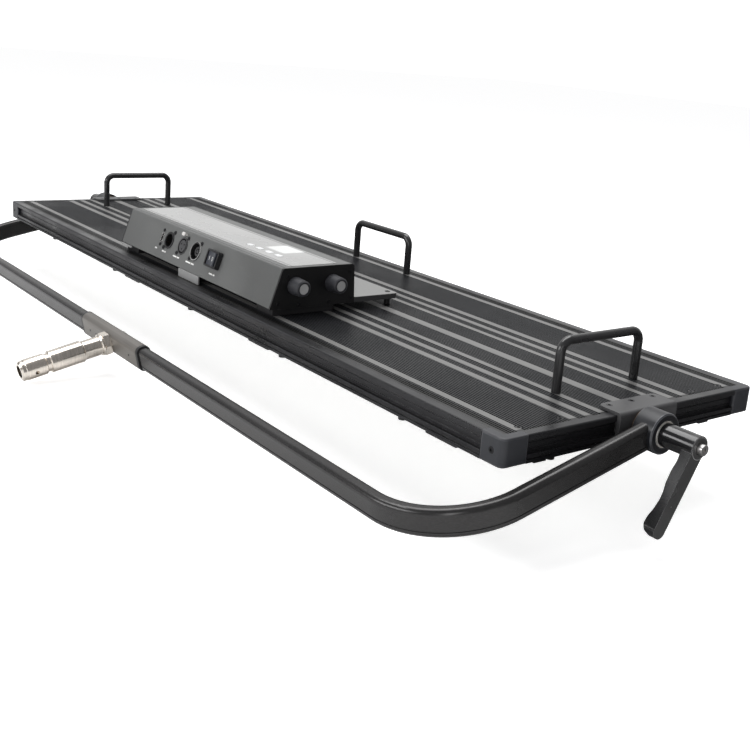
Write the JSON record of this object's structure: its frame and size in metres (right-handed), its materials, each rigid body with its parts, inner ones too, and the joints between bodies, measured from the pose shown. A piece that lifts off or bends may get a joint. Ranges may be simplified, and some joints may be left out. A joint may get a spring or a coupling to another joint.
{
  "type": "tilting light panel",
  "caption": "Long slim LED soft-light panel, finned back with driver box, handles and a tilting U yoke with a stand spigot.",
  "frame": {"origin": "on the axis of the stand spigot, in the middle of its full-diameter length", "axes": "+X along the panel towards the end whose box plate carries the knobs, +Y across the panel away from the spigot, +Z out of the panel's finned back"},
  "size_m": [1.4622, 0.584, 0.1758],
  "materials": {
    "yoke_anodised": "black anodised flat-oval tube, fine drawn lines",
    "cast_boss": "fine satin dark grey powder coat on cast aluminium",
    "sleeve_satin": "satin grey anodised extrusion",
    "trim_black": "black moulded trim",
    "black_screws": "black oxide screws",
    "nickel_plate": "warm bright nickel plate on turned steel",
    "bright_steel": "bright stainless steel",
    "bronze_bush": "sintered bronze",
    "rail_anodised": "black anodised extrusion with fine lines along it",
    "corner_plastic": "dark grey moulded nylon, fine satin texture",
    "heat_sink_anodised": "dark grey anodised extrusion with fine cooling ribs",
    "handle_paint": "semi-gloss black powder coat on bent rod",
    "friction_fibre": "pressed fibre",
    "board_white": "white solder mask on aluminium core boards",
    "led_phosphor": "phosphor and clear silicone",
    "opal_diffuser": "opal acrylic sheet",
    "box_paint": "grey satin powder coat on aluminium",
    "support_black": "black painted blocks and folded tabs",
    "end_plate_black": "flat black powder coat",
    "overlay_grey": "printed grey polycarbonate film",
    "display_pale": "clear window over a pale display",
    "circuit_green": "green solder mask and parts",
    "supply_case": "plain aluminium casings",
    "socket_black": "black glass-filled nylon",
    "gold_pins": "gold plated contacts",
    "lever_black": "satin black powder coat on cast zinc",
    "knob_rubber": "dark soft-touch grip with a pale cap",
    "rocker_gloss": "dark semi-gloss switch cap",
    "latch_metal": "bright push tab",
    "button_white": "white translucent key caps"
  },
  "bodies": {
    "yoke": {"yoke_tube_right": "yoke_anodised", "yoke_tube_left": "yoke_anodised", "yoke_boss_right": "cast_boss", "yoke_boss_left": "cast_boss", "yoke_sleeve": "sleeve_satin", "sleeve_end_trims": "trim_black", "sleeve_screws": "black_screws", "stand_spigot": "nickel_plate", "spigot_nut": "bright_steel", "boss_bushes": "bronze_bush", "boss_washers": "bright_steel"},
    "panel": {"rail_near": "rail_anodised", "rail_far": "rail_anodised", "rail_right": "rail_anodised", "rail_left": "rail_anodised", "corner_blocks": "corner_plastic", "heat_sink": "heat_sink_anodised", "panel_screws": "black_screws", "handle_right": "handle_paint", "handle_left": "handle_paint", "handle_side": "handle_paint", "pivot_bracket_right": "cast_boss", "pivot_bracket_left": "cast_boss", "pivot_studs": "bright_steel", "friction_discs": "friction_fibre", "led_boards": "board_white", "led_packages": "led_phosphor", "diffuser": "opal_diffuser", "accessory_studs": "trim_black", "box_tray": "box_paint", "box_supports": "support_black", "box_cover": "box_paint", "end_plate_right": "end_plate_black", "end_plate_left": "end_plate_black", "box_screws": "black_screws", "top_overlay": "overlay_grey", "display_window": "display_pale", "control_board": "circuit_green", "power_supply": "supply_case", "data_port": "bright_steel", "xlr_male": "socket_black", "xlr_pins": "gold_pins", "xlr_female": "socket_black", "power_inlet": "socket_black", "switch_bezel": "socket_black", "encoders": "supply_case"},
    "lever_right": {"lever_right": "lever_black"},
    "lever_left": {"lever_left": "lever_black"},
    "lever_core_right": {"lever_core_right": "bright_steel"},
    "lever_core_left": {"lever_core_left": "bright_steel"},
    "knob_front": {"knob_front": "knob_rubber"},
    "knob_rear": {"knob_rear": "knob_rubber"},
    "switch_rocker": {"switch_rocker": "rocker_gloss"},
    "xlr_latch": {"xlr_latch": "latch_metal"},
    "button_1": {"button_1": "button_white"},
    "button_2": {"button_2": "button_white"},
    "button_3": {"button_3": "button_white"},
    "button_4": {"button_4": "button_white"}
  },
  "joints": [
    {"name": "panel_tilt", "type": "hinge", "parent": "yoke", "child": "panel", "pos_m": [0, 0.33612, 0.07575], "axis": [1, 0, 0], "continuous": true},
    {"name": "lever_turn_right", "type": "hinge", "parent": "panel", "child": "lever_core_right", "pos_m": [0, 0.33612, 0.07575], "axis": [1, 0, 0], "range_deg": [-90, 90]},
    {"name": "lever_pull_right", "type": "slide", "parent": "lever_core_right", "child": "lever_right", "axis": [1, 0, 0], "range_m": [0, 0.005], "stiffness_N_per_m": 900, "springref_m": -0.008},
    {"name": "lever_turn_left", "type": "hinge", "parent": "panel", "child": "lever_core_left", "pos_m": [0, 0.33612, 0.07575], "axis": [1, 0, 0], "range_deg": [-90, 90]},
    {"name": "lever_pull_left", "type": "slide", "parent": "lever_core_left", "child": "lever_left", "axis": [-1, 0, 0], "range_m": [0, 0.005], "stiffness_N_per_m": 900, "springref_m": -0.008},
    {"name": "knob_turn_front", "type": "hinge", "parent": "panel", "child": "knob_front", "pos_m": [0.215, 0.20212, 0.12745], "axis": [1, 0, 0], "continuous": true},
    {"name": "knob_turn_rear", "type": "hinge", "parent": "panel", "child": "knob_rear", "pos_m": [0.215, 0.25612, 0.12745], "axis": [1, 0, 0], "continuous": true},
    {"name": "power_rocker", "type": "hinge", "parent": "panel", "child": "switch_rocker", "pos_m": [0.06, 0.17786, 0.1281], "axis": [0, 0.3203, 0.9473], "range_deg": [0, 16]},
    {"name": "latch_push", "type": "slide", "parent": "panel", "child": "xlr_latch", "axis": [0, 0.9473, -0.3203], "range_m": [0, 0.002], "stiffness_N_per_m": 600, "springref_m": -0.002},
    {"name": "button_press_1", "type": "slide", "parent": "panel", "child": "button_1", "axis": [0, 0, -1], "range_m": [0, 0.0008], "stiffness_N_per_m": 900, "springref_m": -0.0005},
    {"name": "button_press_2", "type": "slide", "parent": "panel", "child": "button_2", "axis": [0, 0, -1], "range_m": [0, 0.0008], "stiffness_N_per_m": 900, "springref_m": -0.0005},
    {"name": "button_press_3", "type": "slide", "parent": "panel", "child": "button_3", "axis": [0, 0, -1], "range_m": [0, 0.0008], "stiffness_N_per_m": 900, "springref_m": -0.0005},
    {"name": "button_press_4", "type": "slide", "parent": "panel", "child": "button_4", "axis": [0, 0, -1], "range_m": [0, 0.0008], "stiffness_N_per_m": 900, "springref_m": -0.0005}
  ]
}
